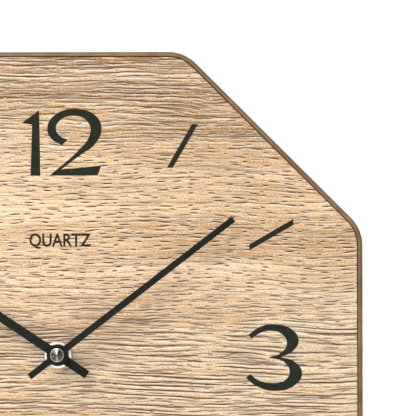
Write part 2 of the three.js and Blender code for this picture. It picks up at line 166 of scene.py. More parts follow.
def srgb(red, green, blue):
    """A display colour, 0 to 255, as the linear colour that a shader takes."""
    def linear(c):
        c /= 255
        return c / 12.92 if c <= 0.04045 else ((c + 0.055) / 1.055) ** 2.4
    return (linear(red), linear(green), linear(blue), 1.0)


# ---------------------------------------------------------------- materials


def pore_dashes(m, x, z, length, pitch, long, thin, seed):
    """Short lens-shaped strokes along the grain, one per cell of length by pitch. Each has its own
    reach, slope and strength. Returns the dark groove, the stain round it, a painted highlight along
    the edge beneath it, where light from above would catch the groove, and a random tone."""
    across, up = m.math("MULTIPLY_ADD", x, 1 / length, seed), m.math("MULTIPLY", z, 1 / pitch)
    cells = m.add("ShaderNodeTexVoronoi", voronoi_dimensions="2D")
    m.link(m.vector(across, up, 0.0), cells.inputs["Vector"])
    cells.inputs["Scale"].default_value = 1.0
    cells.inputs["Randomness"].default_value = 0.85
    centre = m.parts(cells.outputs["Position"])
    chance = m.parts(cells.outputs["Color"])
    dx, dz = m.math("SUBTRACT", across, centre[0]), m.math("SUBTRACT", up, centre[1])
    slope = m.math("MULTIPLY", m.math("SUBTRACT", chance[2], 0.5), 0.9)
    dz = m.math("SUBTRACT", dz, m.math("MULTIPLY", dx, slope))
    reach = m.math("DIVIDE", dx, m.math("MULTIPLY_ADD", chance[0], long, long * 0.35))
    strength = m.fit(chance[1], 0.05, 0.6, 0.4, 1.0)

    def stroke(offset, half_width, outside, inside):
        rise = m.math("DIVIDE", m.math("ADD", dz, offset), half_width)
        squares = m.math("MULTIPLY", reach, reach), m.math("MULTIPLY", rise, rise)
        away = m.math("SQRT", m.math("ADD", *squares))
        return m.math("MULTIPLY", m.fit(away, outside, inside), strength)

    groove = stroke(0.0, thin, 1.12, 0.8)
    stain = stroke(-0.5 * thin, 2.3 * thin, 1.5, 0.4)
    # painted highlight: a pale stroke just below the groove, as if light from above caught its lower edge
    lit = stroke(1.9 * thin, thin, 1.15, 0.8)
    return groove, stain, lit, chance[2]


def oak_decor():
    """Light oak with a horizontal grain: broad tone bands, fine fibres, dark broken pore lines with a
    painted highlight beneath each.
    """
    m = Nodes("oak_decor", Specular_IOR_Level=0.25)
    x, _, z = m.parts(m.coords)

    def swing(along, across, amount):
        wander = m.noise(m.scaled(m.coords, (along, 0, across)))
        return m.math("MULTIPLY", m.math("SUBTRACT", wander, 0.5), amount)

    grain_z = m.math("ADD", m.math("ADD", z, swing(5, 10, 0.014)),
                     m.math("ADD", swing(22, 50, 0.0034), swing(90, 180, 0.0006)))
    grain = m.vector(x, 0.0, grain_z)

    tone = m.noise(m.scaled(grain, (3.6, 1, 34), (4, 0, 9)), detail=3, roughness=0.6)
    base = m.ramp(m.fit(tone, 0.33, 0.67),
                  (0.0, srgb(206, 164, 117)),
                  (0.35, srgb(233, 197, 154)),
                  (0.62, srgb(251, 220, 181)),
                  (1.0, srgb(255, 236, 202)))

    # the top of the dial lies in a browner, greyer part of the board
    high = m.fit(z, HUB.z + 0.07, HUB.z + 0.125)
    low = m.fit(z, HUB.z + 0.055, HUB.z - 0.005)
    band = m.fit(m.noise(m.scaled(grain, (1.6, 1, 66), (1, 0, 3)), detail=2), 0.42, 0.6)
    brown = m.math("MULTIPLY", m.math("ADD", high, 0.1), m.math("MULTIPLY_ADD", band, 0.85, 0.3))
    base = m.mix(brown, base, srgb(156, 113, 64))
    base = m.mix(m.math("MULTIPLY", low, 0.3), base, srgb(188, 150, 106))

    # fibres: streaks two fibres wide, then single ones, then short flecks
    for along, across, dark, pale in ((12, 420, 0.35, 0.42), (30, 1200, 0.45, 0.6), (150, 2200, 0.5, 0.7)):
        fibre = m.noise(m.scaled(grain, (along, 1, across), (across, 0, along)), detail=2, roughness=0.6)
        base = m.mix(m.fit(fibre, 0.53, 0.72, 0.0, pale), base, srgb(255, 239, 208))
        base = m.mix(m.fit(fibre, 0.47, 0.28, 0.0, dark), base, srgb(156, 112, 66))

    # the decor's fine print grain
    speck = m.noise(m.scaled(grain, (1150, 1, 1900), (7, 0, 5)), detail=1)
    base = m.mix(m.fit(speck, 0.51, 0.7, 0.0, 0.5), base, srgb(255, 238, 208))
    base = m.mix(m.fit(speck, 0.48, 0.3, 0.0, 0.42), base, srgb(138, 92, 50))

    # pores: long grey ones toward the top and the bottom, short brown dashes in the middle, each with a
    # painted highlight beneath it
    calm = m.noise(m.scaled(m.coords, (7, 1, 16), (5, 0, 2)), detail=1)
    streaks = m.fit(m.math("ADD", calm, m.math("MULTIPLY", m.math("ADD", high, low), 0.2)), 0.4, 0.56)
    edges = m.math("MAXIMUM", high, low)
    calm_streaks = m.math("MULTIPLY", streaks, m.fit(edges, 0.0, 1.0, 0.5, 1.0))
    layers = ((0.080, 0.0019, 0.34, 0.15, 3.0, calm_streaks),
              (0.0200, 0.0018, 0.36, 0.155, 11.0, m.fit(edges, 0.0, 1.0, 0.3, 0.8)),
              (0.0330, 0.0023, 0.40, 0.16, 51.0, m.fit(edges, 0.2, 1.0, 0.0, 0.6)),
              (0.0085, 0.0019, 0.30, 0.145, 27.0, m.fit(edges, 0.0, 1.0, 1.0, 0.6)))
    groove = 0.0
    for length, pitch, long, thin, seed, share in layers:
        dark, halo, pale, chance = pore_dashes(m, x, grain_z, length, pitch, long, thin, seed)
        dark, halo, pale = (m.math("MULTIPLY", part, share) for part in (dark, halo, pale))
        age = m.math("MULTIPLY", m.fit(chance, 0.2, 0.9), m.fit(edges, 0.0, 1.0, 0.3, 1.0))
        stain = m.mix(age, srgb(74, 42, 18), srgb(38, 28, 20))
        base = m.mix(m.math("MULTIPLY", halo, 0.28), base, srgb(160, 112, 64))
        # the pale stroke under each pore is a painted highlight, light from above painted into the colour
        base = m.mix(m.math("MULTIPLY", pale, 0.55), base, srgb(255, 242, 218))
        base = m.mix(dark, base, stain)
        groove = m.math("MAXIMUM", dark, groove)

    m.colour(base)
    m.roughness(m.fit(tone, 0.3, 0.7, 0.62, 0.5))
    m.bump(m.math("SUBTRACT", m.math("MULTIPLY", fibre, 0.2), groove), 0.3, 0.0001)
    return m.material


def brown_lacquer():
    """The housing: brown stained wood with a faint lengthwise grain under a satin lacquer."""
    m = Nodes("brown_lacquer", Specular_IOR_Level=0.4, Coat_Weight=0.15, Coat_Roughness=0.35)
    along = m.scaled(m.coords, (60, 14, 60))
    grain = m.noise(along, detail=4, roughness=0.65, distortion=0.4)
    cloud = m.noise(m.scaled(m.coords, (11, 11, 11)), detail=2)
    fleck = m.fit(m.noise(m.scaled(m.coords, (900, 160, 900)), detail=2), 0.58, 0.72)
    base = m.ramp(m.fit(grain, 0.3, 0.7),
                  (0.0, srgb(112, 85, 57)), (0.5, srgb(132, 103, 71)), (1.0, srgb(152, 122, 87)))
    base = m.mix(m.fit(cloud, 0.35, 0.7, 0.0, 0.35), base, srgb(120, 95, 71))
    base = m.mix(m.math("MULTIPLY", fleck, 0.45), base, srgb(92, 72, 54))
    m.colour(base)
    m.roughness(m.fit(grain, 0.3, 0.7, 0.42, 0.56))
    m.bump(m.math("SUBTRACT", grain, fleck), 0.15, 0.0001)
    return m.material


def pressed_board():
    """Back panel: dark brown hardboard, mottled fibres with a waxy smooth face."""
    m = Nodes("pressed_board", Specular_IOR_Level=0.3)
    fibre = m.noise(m.scaled(m.coords, (420, 420, 420)), detail=5, roughness=0.7, distortion=1.2)
    cloud = m.noise(m.scaled(m.coords, (24, 24, 24)), detail=3)
    base = m.ramp(m.fit(fibre, 0.3, 0.7),
                  (0.0, srgb(84, 61, 42)), (0.5, srgb(112, 84, 60)), (1.0, srgb(142, 111, 82)))
    base = m.mix(m.fit(cloud, 0.3, 0.7, 0.0, 0.5), base, srgb(98, 72, 50))
    m.colour(base)
    m.roughness(m.fit(fibre, 0.3, 0.7, 0.5, 0.72))
    m.bump(fibre, 0.3, 0.00015)
    return m.material


def printed_ink():
    """Flat black print in which a few raised fibres of the decor show through."""
    m = Nodes("printed_ink", Specular_IOR_Level=0.1)
    speck = m.noise(m.scaled(m.coords, (260, 1, 2100)), detail=2)
    tone = m.noise(m.scaled(m.coords, (300, 300, 900)), detail=2)
    base = m.ramp(tone, (0.3, srgb(34, 37, 31)), (0.7, srgb(42, 45, 38)))
    base = m.mix(m.fit(speck, 0.65, 0.72, 0.0, 0.6), base, srgb(112, 88, 62))
    m.colour(base)
    m.roughness(m.fit(tone, 0.3, 0.7, 0.5, 0.65))
    m.bump(tone, 0.12, 0.00005)
    return m.material


def hand_paint():
    """Matt black lacquer on thin sheet metal."""
    m = Nodes("hand_paint", Specular_IOR_Level=0.12)
    grit = m.noise(m.scaled(m.coords, (5200, 5200, 5200)), detail=3)
    cloud = m.noise(m.scaled(m.coords, (130, 130, 130)), detail=2)
    m.colour(m.ramp(cloud, (0.3, srgb(24, 29, 24)), (0.7, srgb(31, 36, 30))))
    m.roughness(m.fit(grit, 0.3, 0.7, 0.42, 0.6))
    m.bump(grit, 0.25, 0.00002)
    return m.material


def turned_metal(name, light, dark, rough, centre=None, rings=9000.0):
    """Metal turned on a lathe about an axis along Y through centre: fine rings and a soft sheen."""
    m = Nodes(name, metallic=1.0)
    x, y, z = m.parts(m.coords)
    if centre is not None:
        dx, dz = m.math("SUBTRACT", x, centre.x), m.math("SUBTRACT", z, centre.z)
        squared = m.math("ADD", m.math("MULTIPLY", dx, dx), m.math("MULTIPLY", dz, dz))
        radius = m.math("ADD", m.math("SQRT", squared), m.math("MULTIPLY", y, 0.7))
        groove = m.math("SINE", m.math("MULTIPLY", radius, rings))
    else:
        groove = m.noise(m.scaled(m.coords, (900, 6000, 900)), detail=2)
    smudge = m.noise(m.scaled(m.coords, (700, 700, 700)), detail=3)
    m.colour(m.mix(m.fit(smudge, 0.3, 0.7), dark, light))
    m.roughness(m.fit(smudge, 0.3, 0.75, rough * 0.7, rough * 1.5))
    m.bump(m.math("ADD", m.math("MULTIPLY", groove, 0.5), smudge), 0.35, 0.00003)
    return m.material


def cap_metal_painted_glints():
    """The hand cap: a steep turned cone, with glints painted into its colour in two wedges, above and
    below its middle.
    """
    m = Nodes("cap_metal_painted_glints", metallic=1.0)
    x, _, z = m.parts(m.coords)
    turn = m.math("ARCTAN2", x, z)
    radius = m.math("SQRT", m.math("ADD", m.math("MULTIPLY", x, x), m.math("MULTIPLY", z, z)))
    polar = m.vector(m.math("MULTIPLY", turn, 3.0), 0.0, m.math("MULTIPLY", radius, 900.0))
    sparkle = m.noise(polar, detail=2)
    # painted highlights: bright wedges above and below the middle, a light ring at the edge and sparkle,
    # all painted into the base colour
    away = m.math("ABSOLUTE", turn)
    upper = m.fit(away, 0.42, 0.1)
    lower = m.fit(away, 2.75, 3.05, 0.0, 0.45)
    rim = m.fit(radius, 0.0026, 0.0028, 0.0, 0.4)
    glint = m.math("MAXIMUM", m.math("MAXIMUM", upper, lower), m.fit(sparkle, 0.5, 0.75, 0.0, 0.45))
    m.colour(m.mix(m.math("MAXIMUM", glint, rim), srgb(78, 76, 64), srgb(250, 244, 228)))
    m.roughness(m.fit(sparkle, 0.3, 0.7, 0.22, 0.4))
    m.bump(m.math("SINE", m.math("MULTIPLY", radius, 26000.0)), 0.2, 0.00002)
    return m.material


def moulded(name, low, high, rough, grain=2600.0, depth=0.00003):
    """Injection moulded plastic: spark-eroded grain and slight unevenness of tone."""
    m = Nodes(name, Specular_IOR_Level=0.5)
    grit = m.noise(m.scaled(m.coords, (grain, grain, grain)), detail=3, roughness=0.6)
    cloud = m.noise(m.scaled(m.coords, (70, 70, 70)), detail=2)
    m.colour(m.mix(m.fit(cloud, 0.3, 0.7), low, high))
    m.roughness(m.fit(grit, 0.3, 0.7, rough * 0.8, rough * 1.2))
    m.bump(grit, 0.3, depth)
    return m.material


def winding_wire():
    """Fine enamelled wire laid turn by turn round a bobbin that stands along Z."""
    m = Nodes("winding_wire", metallic=0.8)
    turns = m.math("SINE", m.math("MULTIPLY", m.parts(m.coords)[2], 24000.0))
    cloud = m.noise(m.scaled(m.coords, (500, 500, 260)), detail=2)
    m.colour(m.mix(cloud, srgb(150, 74, 34), srgb(196, 112, 62)))
    m.roughness(m.fit(cloud, 0.3, 0.7, 0.3, 0.45))
    m.bump(turns, 0.6, 0.00004)
    return m.material


def solder_mask():
    """Circuit board: green mask over faint copper tracks."""
    m = Nodes("solder_mask", Specular_IOR_Level=0.5)
    tracks = m.add("ShaderNodeTexBrick")
    m.link(m.scaled(m.coords, (300, 1, 300)), tracks.inputs["Vector"])
    tracks.inputs["Mortar Size"].default_value = 0.06
    mask = m.mix(tracks.outputs["Fac"], srgb(24, 70, 38), srgb(48, 106, 58))
    cloud = m.noise(m.scaled(m.coords, (200, 200, 200)))
    m.colour(m.mix(m.fit(cloud, 0.3, 0.7, 0.0, 0.4), mask, srgb(20, 58, 34)))
    m.roughness(m.fit(cloud, 0.3, 0.7, 0.28, 0.42))
    return m.material


def cell_sleeve():
    """Battery sleeve: dark blue foil with a lighter band at the positive end, lengthwise along X."""
    m = Nodes("cell_sleeve", metallic=0.35, Coat_Weight=0.4, Coat_Roughness=0.15)
    high = span("battery", 0)[1]
    band = m.fit(m.parts(m.coords)[0], high - 0.0148, high - 0.0146)
    foil = m.noise(m.scaled(m.coords, (60, 900, 900)), detail=2)
    cloud = m.noise(m.scaled(m.coords, (90, 90, 90)), detail=2)
    blue = m.mix(foil, srgb(26, 44, 66), srgb(38, 60, 86))
    m.colour(m.mix(band, blue, srgb(176, 140, 84)))
    m.roughness(m.fit(cloud, 0.3, 0.7, 0.24, 0.36))
    return m.material


def matt_rubber(name="matt_rubber"):
    m = Nodes(name, Specular_IOR_Level=0.3)
    grit = m.noise(m.scaled(m.coords, (1800, 1800, 1800)), detail=4, roughness=0.7)
    m.colour(m.mix(m.fit(grit, 0.3, 0.7), srgb(28, 28, 29), srgb(44, 44, 45)))
    m.roughness(m.fit(grit, 0.3, 0.7, 0.75, 0.92))
    m.bump(grit, 0.4, 0.00006)
    return m.material


OAK = oak_decor()
BROWN = brown_lacquer()
BOARD = pressed_board()
INK = printed_ink()
PAINT = hand_paint()
CAP = cap_metal_painted_glints()
NICKEL = turned_metal("turned_nickel", srgb(252, 249, 243), srgb(236, 230, 220), 0.2, HUB)
ZINC = turned_metal("zinc_plate", srgb(206, 206, 204), srgb(150, 152, 154), 0.32)
IRON = turned_metal("soft_iron", srgb(150, 150, 152), srgb(112, 112, 116), 0.4)
BRASS = turned_metal("plain_brass", srgb(214, 176, 98), srgb(176, 136, 70), 0.28, HUB)
BLACK = moulded("black_plastic", srgb(27, 27, 29), srgb(38, 38, 40), 0.5)
WHITE = moulded("white_acetal", srgb(222, 220, 210), srgb(236, 234, 226), 0.38, depth=0.00001)
WIRE = winding_wire()
GREEN = solder_mask()
SLEEVE = cell_sleeve()
RUBBER = matt_rubber()


# ---------------------------------------------------------------- mesh helpers


def finish_mesh(name, bm, material, body, stands_for=(), at=None):
    """Turns a bmesh into a piece with sharp creases, its material, and a body to ride on."""
    bmesh.ops.recalc_face_normals(bm, faces=bm.faces)
    mesh = bpy.data.meshes.new(name)
    bm.to_mesh(mesh)
    bm.free()
    for polygon in mesh.polygons:
        polygon.use_smooth = True
    mesh.set_sharp_from_angle(angle=SHARP)
    piece = bpy.data.objects.new(name, mesh)
    bpy.context.scene.collection.objects.link(piece)
    mesh.materials.append(material)
    if at is not None:
        piece.location = at
    settle(piece, body, stands_for)
    return piece


def settle(piece, body, stands_for=()):
    if body:
        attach(piece, body)
    if stands_for:
        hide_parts(*stands_for)


def bridge(bm, loops, closed):
    """Skins a list of vertex loops of equal length, and joins the last to the first if closed."""
    pairs = list(zip(loops, loops[1:]))
    if closed:
        pairs.append((loops[-1], loops[0]))
    for lower, upper in pairs:
        count = len(lower)
        for i in range(count):
            j = (i + 1) % count
            bm.faces.new((lower[i], lower[j], upper[j], upper[i]))


def skin(rings, closed=True, caps=False):
    """A bmesh from rings of points: closed into a ring shape, or capped at both ends."""
    bm = bmesh.new()
    loops = [[bm.verts.new(p) for p in ring] for ring in rings]
    bridge(bm, loops, closed)
    if caps:
        bm.faces.new(loops[0])
        bm.faces.new(loops[-1])
    return bm


def octagon(half, corner, y, steps=10):
    """Points of an upright octagon with round corners about the hub axis."""
    reach = (half - corner) / math.cos(math.pi / 8)
    points = []
    for side in range(8):
        middle = math.radians(22.5 + 45 * side)
        for step in range(steps + 1):
            a = math.radians(45 * side) + math.radians(45) * step / steps
            points.append(Vector((
                HUB.x + reach * math.cos(middle) + corner * math.cos(a), y,
                HUB.z + reach * math.sin(middle) + corner * math.sin(a))))
    return points


def arc(centre, radius, start, end, steps):
    """Points [across, y] on a quarter of an edge rounding, angles in degrees."""
    turn = [math.radians(start + (end - start) * i / steps) for i in range(steps + 1)]
    return [(centre[0] + radius * math.cos(a), centre[1] + radius * math.sin(a)) for a in turn]


def lathe(profile, centre, steps=64):
    """A solid turned about an axis along Y: profile is [radius, y] and starts and ends at radius 0."""
    bm = bmesh.new()
    loops = []
    for radius, y in profile:
        if radius < 1e-9:
            loops.append([bm.verts.new((centre.x, y, centre.z))])
            continue
        turn = [2 * math.pi * i / steps for i in range(steps)]
        loops.append([bm.verts.new((centre.x + radius * math.cos(a), y, centre.z + radius * math.sin(a)))
                      for a in turn])
    for lower, upper in zip(loops, loops[1:]):
        for i in range(steps):
            j = (i + 1) % steps
            face = [loop[k % len(loop)] for loop, k in ((lower, i), (lower, j), (upper, j), (upper, i))]
            bm.faces.new(list(dict.fromkeys(face)))
    return bm


def ring_lathe(profile, centre, steps=64):
    """As lathe, for a profile that closes on itself without touching the axis."""
    rings = []
    for radius, y in profile:
        turn = [2 * math.pi * i / steps for i in range(steps)]
        rings.append([(centre.x + radius * math.cos(a), y, centre.z + radius * math.sin(a)) for a in turn])
    return skin(rings)


def slab(outline, y0, y1, edge=0.0, steps=2):
    """A flat piece from an outline of (x, z) points, with its outer edges rounded by edge."""
    bm = bmesh.new()
    front = [bm.verts.new((x, y0, z)) for x, z in outline]
    back = [bm.verts.new((x, y1, z)) for x, z in outline]
    caps = [bm.faces.new(front), bm.faces.new(list(reversed(back)))]
    bridge(bm, [front, back], False)
    if edge:
        rims = {e for face in caps for e in face.edges}
        bmesh.ops.bevel(bm, geom=list(rims), offset=edge, segments=steps, affect="EDGES", profile=0.5)
    return bm


def box_mesh(low, high, edge=0.0, steps=2):
    """A box between two corners with rounded edges."""
    bm = bmesh.new()
    bmesh.ops.create_cube(bm, size=1.0)
    middle = [(a + b) / 2 for a, b in zip(low, high)]
    size = [b - a for a, b in zip(low, high)]
    bmesh.ops.scale(bm, vec=size, verts=bm.verts)
    bmesh.ops.translate(bm, vec=middle, verts=bm.verts)
    if edge:
        bmesh.ops.bevel(bm, geom=bm.edges[:], offset=edge, segments=steps, affect="EDGES", profile=0.5)
    return bm


def temporary(bm, name="cutter"):
    bmesh.ops.recalc_face_normals(bm, faces=bm.faces)
    mesh = bpy.data.meshes.new(name)
    bm.to_mesh(mesh)
    bm.free()
    item = bpy.data.objects.new(name, mesh)
    bpy.context.scene.collection.objects.link(item)
    return item


def carved(bm, cutters=(), joined=()):
    """The bmesh with the other bmeshes cut out of it or joined to it."""
    work = temporary(bm, "work")
    for tools, operation in ((joined, "UNION"), (cutters, "DIFFERENCE")):
        for tool in tools:
            other = temporary(tool)
            modifier = work.modifiers.new("carve", "BOOLEAN")
            modifier.operation = operation
            modifier.solver = "EXACT"
            modifier.object = other
            evaluated = work.evaluated_get(bpy.context.evaluated_depsgraph_get())
            mesh = bpy.data.meshes.new_from_object(evaluated)
            work.modifiers.clear()
            work.data = mesh
            bpy.data.objects.remove(other)
    result = bmesh.new()
    result.from_mesh(work.data)
    bpy.data.objects.remove(work)
    return result


# ---------------------------------------------------------------- housing and dial

BODY_HALF = (span("housing", 0)[1] - span("housing", 0)[0]) / 2
CORNER = 18 * MM
PLATE_HALF = (span("front_plate", 0)[1] - span("front_plate", 0)[0]) / 2
PANEL_HALF = (span("back_panel", 0)[1] - span("back_panel", 0)[0]) / 2
GAP = 0.4 * MM
RIM = BODY_HALF - PLATE_HALF - GAP
NECK_BORE = 4.5 * MM
HOUR_ANGLE, MINUTE_ANGLE = 303.6, 52.3   # degrees clockwise from twelve
NUT_SLOTS = 90 - MINUTE_ANGLE   # degrees above the horizontal, in line with the minute hand


def housing():
    """The octagonal ring: lip round the dial, rounded rim, outer wall, rebate for the back panel."""
    front, back = span("housing", 1)
    seat = span("front_plate", 1)[1] + 0.1 * MM
    panel_seat = span("back_panel", 1)[0] - 0.1 * MM
    outer_r, lip_r, back_r = 1.9 * MM, 0.3 * MM, 0.5 * MM
    crown = (RIM - 0.05 * MM - lip_r) / (math.cos(math.radians(15)) - math.sin(math.radians(15)))
    wall, panel_inset = 14 * MM, BODY_HALF - PANEL_HALF - 0.4 * MM
    profile = [(RIM, seat)]
    profile += arc((RIM - lip_r, front + lip_r), lip_r, 0, -90, 3)
    lean = crown * math.cos(math.radians(15))
    profile += arc((lean, front + lean), crown, -105, -165, 7)
    profile += arc((outer_r, back - outer_r), outer_r, 180, 90, 6)
    profile += arc((panel_inset - back_r, back - back_r), back_r, 90, 0, 3)
    profile += [(panel_inset, panel_seat), (wall, panel_seat), (wall, seat)]
    rings = [octagon(BODY_HALF - inset, CORNER - inset, y) for inset, y in profile]
    finish_mesh("housing_ring", skin(rings), BROWN, "case", ["housing"])


def front_plate():
    """The oak dial plate with eased edges and the hole for the movement's neck."""
    front, back = span("front_plate", 1)
    ease = 0.45 * MM
    corner = CORNER - (BODY_HALF - PLATE_HALF)
    profile = arc((ease, front + ease), ease, -90, -180, 4) + arc((ease, back - ease), ease, 180, 90, 2)
    rings = [octagon(PLATE_HALF - inset, corner - inset, y) for inset, y in profile]

    def bore(y):
        points = []
        for p in rings[0]:
            direction = Vector((p.x - HUB.x, 0, p.z - HUB.z)).normalized()
            points.append(Vector((HUB.x, y, HUB.z)) + direction * NECK_BORE)
        return points

    rings = [bore(front)] + rings + [bore(back)]
    finish_mesh("dial_plate", skin(rings), OAK, "case", ["front_plate"])


housing()
front_plate()

# ---------------------------------------------------------------- print on the dial

INK_T = 0.05 * MM
PRINT = HUB + Vector((1.15 * MM, 0, -0.6 * MM))   # the print sits a little right of and below the hub


class Glyph:
    """A figure drawn on a grid of units, as closed Bezier outlines. Each outline is a list of
    (x, z, kind), where kind "c" is a sharp corner and "s" a smooth point."""

    def __init__(self, *outlines):
        self.outlines = outlines

    def curve(self, name, centre, unit):
        data = bpy.data.curves.new(name, "CURVE")
        data.dimensions = "2D"
        data.fill_mode = "BOTH"
        data.extrude = INK_T / 2
        data.resolution_u = 10
        for outline in self.outlines:
            spline = data.splines.new("BEZIER")
            spline.bezier_points.add(len(outline) - 1)
            for point, (px, pz, kind) in zip(spline.bezier_points, outline):
                point.co = (px * unit, pz * unit, 0)
                side = "VECTOR" if kind == "c" else "AUTO"
                point.handle_left_type = side
                point.handle_right_type = side
            spline.use_cyclic_u = True
        return stand_up(name, data, centre)


def stand_up(name, data, centre, stretch=1.0):
    """Turns a flat curve or text into a thin upright mesh on the dial, centred on a point."""
    drawn = bpy.data.objects.new(name + "_drawn", data)
    bpy.context.scene.collection.objects.link(drawn)
    evaluated = drawn.evaluated_get(bpy.context.evaluated_depsgraph_get())
    mesh = bpy.data.meshes.new_from_object(evaluated)
    bpy.data.objects.remove(drawn)
    bm = bmesh.new()
    bm.from_mesh(mesh)
    bmesh.ops.remove_doubles(bm, verts=bm.verts, dist=1e-7)
    bmesh.ops.scale(bm, vec=(1, stretch, 1), verts=bm.verts)
    bmesh.ops.rotate(bm, cent=(0, 0, 0), matrix=Matrix.Rotation(math.pi / 2, 3, "X"), verts=bm.verts)
    bmesh.ops.translate(bm, vec=(centre[0], DIAL_Y - INK_T / 2 + 0.02 * MM, centre[1]), verts=bm.verts)
    return finish_mesh(name, bm, INK, "case")


# Figures in units of a tenth of their height, centred on (0, 0). Strokes are broad at the sides
# and thin at the top and foot.
ONE = Glyph([(-1.5, 3.1, "c"), (1.2, 5.1, "c"), (1.4, -5.0, "c"), (-0.1, -5.0, "c"), (0.1, 2.9, "c")])

TWO = Glyph([(-1.1, 0.4, "c"), (-2.0, -0.4, "c"), (-3.7, 0.7, "s"), (-4.2, 2.3, "s"), (-2.8, 4.3, "s"),
             (0.0, 5.0, "s"), (2.9, 4.2, "s"), (4.0, 2.1, "s"), (2.9, -0.4, "s"), (1.1, -1.7, "s"),
             (-2.1, -4.1, "c"), (4.0, -3.5, "c"), (3.4, -5.0, "c"), (-3.8, -5.0, "c"), (1.2, -0.5, "s"),
             (2.1, 0.8, "s"), (2.3, 2.2, "s"), (1.5, 3.5, "s"), (0.0, 4.0, "s"), (-1.9, 3.6, "s"),
             (-2.9, 2.2, "s"), (-2.3, 1.0, "s")])

THREE = Glyph([(-3.9, 3.5, "c"), (-2.3, 4.6, "s"), (0.1, 5.1, "s"), (3.0, 4.1, "s"), (3.8, 2.6, "s"),
               (2.8, 0.9, "s"), (1.1, 0.1, "c"), (3.4, -0.8, "s"), (4.3, -2.5, "s"), (3.1, -4.3, "s"),
               (0.1, -5.1, "s"), (-2.6, -4.4, "s"), (-4.3, -3.1, "c"), (-3.6, -2.5, "c"),
               (-2.5, -3.4, "s"), (-0.3, -3.9, "s"), (1.9, -3.3, "s"), (2.4, -2.1, "s"),
               (1.6, -0.7, "s"), (0.2, -0.2, "s"), (-0.9, -0.1, "c"), (1.3, 0.9, "s"), (2.0, 2.2, "s"),
               (1.2, 3.6, "s"), (-0.7, 4.1, "s"), (-2.4, 3.6, "s"), (-3.4, 2.9, "c")])

SIX = Glyph([(1.6, 5.0, "c"), (-1.8, 3.0, "s"), (-3.8, -1.2, "s"), (-2.9, -3.9, "s"), (0.1, -5.0, "s"),
             (3.0, -3.9, "s"), (3.9, -1.7, "s"), (2.9, 0.6, "s"), (0.6, 1.4, "s"), (-1.6, 0.9, "c"),
             (-0.4, 2.9, "s"), (2.2, 4.3, "c")],
            [(-2.2, -1.8, "s"), (-1.5, 0.0, "s"), (0.2, 0.6, "s"), (1.8, -0.2, "s"), (2.4, -1.9, "s"),
             (1.7, -3.5, "s"), (0.1, -4.1, "s"), (-1.6, -3.5, "s")])


def turned_over(glyph):
    return Glyph(*[[(-x, -z, kind) for x, z, kind in outline] for outline in glyph.outlines])


def dial_print():
    unit, ring = 3.0 * MM, 98 * MM
    ONE.curve("print_one", (PRINT.x - 13.8 * MM, PRINT.z + ring + 0.2 * MM), unit)
    TWO.curve("print_two", (PRINT.x + 6.4 * MM, PRINT.z + ring + 0.6 * MM), 1.02 * unit)
    THREE.curve("print_three", (PRINT.x + ring, PRINT.z - 0.5 * MM), unit)
    SIX.curve("print_six", (PRINT.x, PRINT.z - ring), unit)
    turned_over(SIX).curve("print_nine", (PRINT.x - ring, PRINT.z), unit)
    for hour in (1, 2, 4, 5, 7, 8, 10, 11):
        hour_bar(hour)


def hour_bar(hour):
    """A slanting bar towards the middle, cut off square to the frame between two concentric squares."""
    inner, outer, width = 86.8 * MM, 107.0 * MM, 2.4 * MM
    a = math.radians(30 * hour)
    dx, dz = math.sin(a), math.cos(a)
    steep = abs(dz) > abs(dx)
    along = abs(dz) if steep else abs(dx)
    shift = width / 2 / along
    ends = [Vector((dx, dz)) * (reach / along) for reach in (inner, outer)]
    side = Vector((shift, 0)) if steep else Vector((0, shift))
    corners = [ends[0] - side, ends[0] + side, ends[1] + side, ends[1] - side]
    outline = [(PRINT.x + p.x, PRINT.z + p.y) for p in corners]
    bm = slab(outline, DIAL_Y - INK_T, DIAL_Y + 0.02 * MM)
    finish_mesh(f"print_bar_{hour}", bm, INK, "case")


def dial_word():
    """A plain word for the kind of clock, in small capitals under the twelve."""
    data = bpy.data.curves.new("word", "FONT")
    data.body = "QUARTZ"
    data.size = 7.0 * MM
    data.space_character = 1.0
    data.offset = 0.14 * MM
    data.align_x = "CENTER"
    data.align_y = "CENTER"
    data.extrude = INK_T / 2
    stand_up("print_word", data, (HUB.x + 0.6 * MM, HUB.z + 52.6 * MM), stretch=1.18)


dial_print()
dial_word()

# ---------------------------------------------------------------- hands and hub


def hand_outline(length, tail, width, boss, angle):
    """Outline of a straight hand with square ends and a round boss, turned clockwise by angle."""
    half = width / 2
    meet = math.asin(half / boss)
    steps = 28
    points = [(half, length), (-half, length)]
    for i in range(steps + 1):
        a = math.pi / 2 + meet + (math.pi - 2 * meet) * i / steps
        points.append((boss * math.cos(a), boss * math.sin(a)))
    points += [(-half, -tail), (half, -tail)]
    for i in range(steps + 1):
        a = -math.pi / 2 + meet + (math.pi - 2 * meet) * i / steps
        points.append((boss * math.cos(a), boss * math.sin(a)))
    turn = math.radians(angle)
    return [(HUB.x + x * math.cos(turn) + z * math.sin(turn),
             HUB.z - x * math.sin(turn) + z * math.cos(turn)) for x, z in points]


def hands():
    boss, sheet = 4.95 * MM, 0.5 * MM
    for name, node, body, length, tail, width, angle, bore in (
            ("hour_hand_blade", "hour_hand", "hour", 66, 16.3, 3.9, HOUR_ANGLE, 2.55),
            ("minute_hand_blade", "minute_hand", "minute", 102, 16.2, 2.9, MINUTE_ANGLE, 1.65)):
        front = span(node, 1)[0]
        outline = hand_outline(length * MM, tail * MM, width * MM, boss, angle)
        blade = slab(outline, front, front + sheet, edge=0.09 * MM)
        collar_back = span(node, 1)[1]
        hole, wall, collar_front = bore * MM, (bore + 0.8) * MM, front + sheet - 0.05 * MM
        collar = ring_lathe([(hole, collar_front), (wall, collar_front), (wall, collar_back),
                             (hole, collar_back)], HUB, 48)
        bore_cut = lathe([(0, front - 1 * MM), (hole, front - 1 * MM),
                          (hole, collar_back + 1 * MM), (0, collar_back + 1 * MM)], HUB, 48)
        hand = carved(blade, cutters=[bore_cut], joined=[collar])
        finish_mesh(name, hand, PAINT, body, [node])


